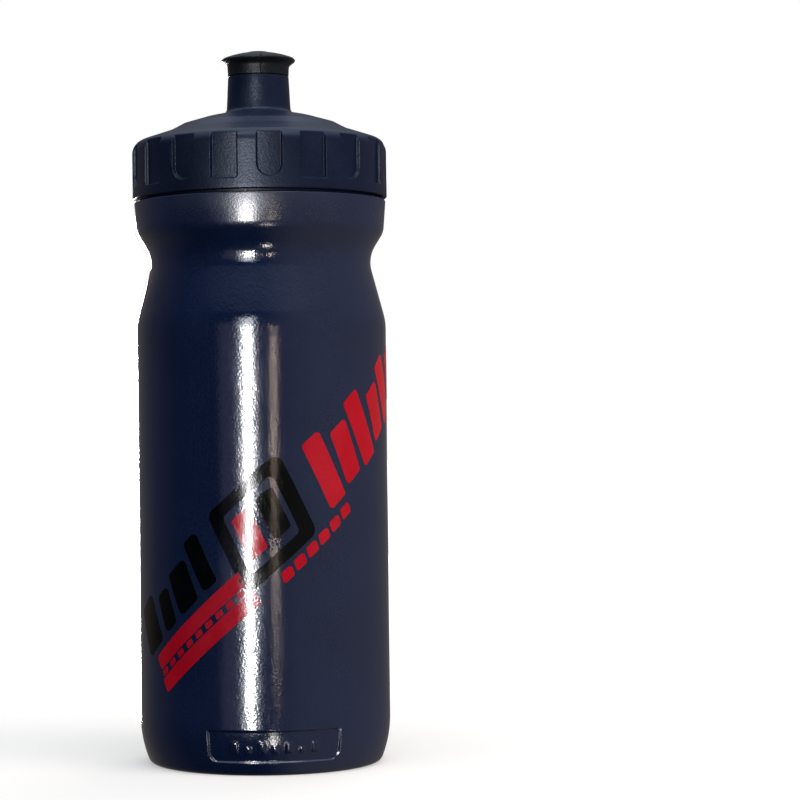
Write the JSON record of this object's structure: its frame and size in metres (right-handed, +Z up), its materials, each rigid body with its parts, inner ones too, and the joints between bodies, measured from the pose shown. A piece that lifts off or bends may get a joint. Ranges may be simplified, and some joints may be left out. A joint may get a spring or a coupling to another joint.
{
  "type": "sports squeeze bottle",
  "caption": "Round squeezable drinking bottle with a waist groove for the hand, a screw cap with grip pockets and a push-pull mouthpiece.",
  "frame": {"origin": "on the bottle's axis, in the plane of the ring that it stands on", "axes": "+Z up along the bottle's axis towards the mouthpiece; -Y is the front, with the panel at the foot"},
  "size_m": [0.0754, 0.0754, 0.2104],
  "materials": {
    "bottle_plastic": "dark navy moulded soft plastic, satin gloss with a faintly wavy surface",
    "cap_plastic": "navy-black moulded plastic, finely grained and satin",
    "pin_plastic": "blue-grey moulded plastic, glossy",
    "gasket_rubber": "off-white soft seal",
    "sleeve_plastic": "black hard plastic, smooth",
    "tip_rubber": "black soft moulded rubber with a coarse matte grain",
    "oring_rubber": "black rubber",
    "print_red": "red ink printed on the wall, a thin satin film; scene pieces only",
    "print_black": "black ink printed on the wall, a thin satin film; scene pieces only"
  },
  "bodies": {
    "bottle": {"bottle_body": "bottle_plastic"},
    "seal": {"cap_gasket": "gasket_rubber"},
    "cap": {"screw_cap": "cap_plastic", "valve_pin": "pin_plastic"},
    "nozzle_ring": {"sleeve_oring": "oring_rubber"},
    "mouthpiece": {"mouthpiece_sleeve": "sleeve_plastic", "mouthpiece_tip": "tip_rubber"}
  },
  "joints": [
    {"name": "cap_lift", "type": "slide", "parent": "bottle", "child": "seal", "axis": [0, 0, 1], "range_m": [0, 0.015]},
    {"name": "cap_turn", "type": "hinge", "parent": "seal", "child": "cap", "pos_m": [0, 0, 0.18], "axis": [0, 0, 1], "range_deg": [0, 1080]},
    {"name": "nozzle_pull", "type": "slide", "parent": "cap", "child": "nozzle_ring", "axis": [0, 0, 1], "range_m": [0, 0.007]},
    {"name": "nozzle_spin", "type": "hinge", "parent": "nozzle_ring", "child": "mouthpiece", "pos_m": [0, 0, 0.195], "axis": [0, 0, 1], "continuous": true}
  ],
  "couplings": [
    {"joint": "cap_lift", "follows": "cap_turn", "m_per_rad": 0.00079577}
  ]
}
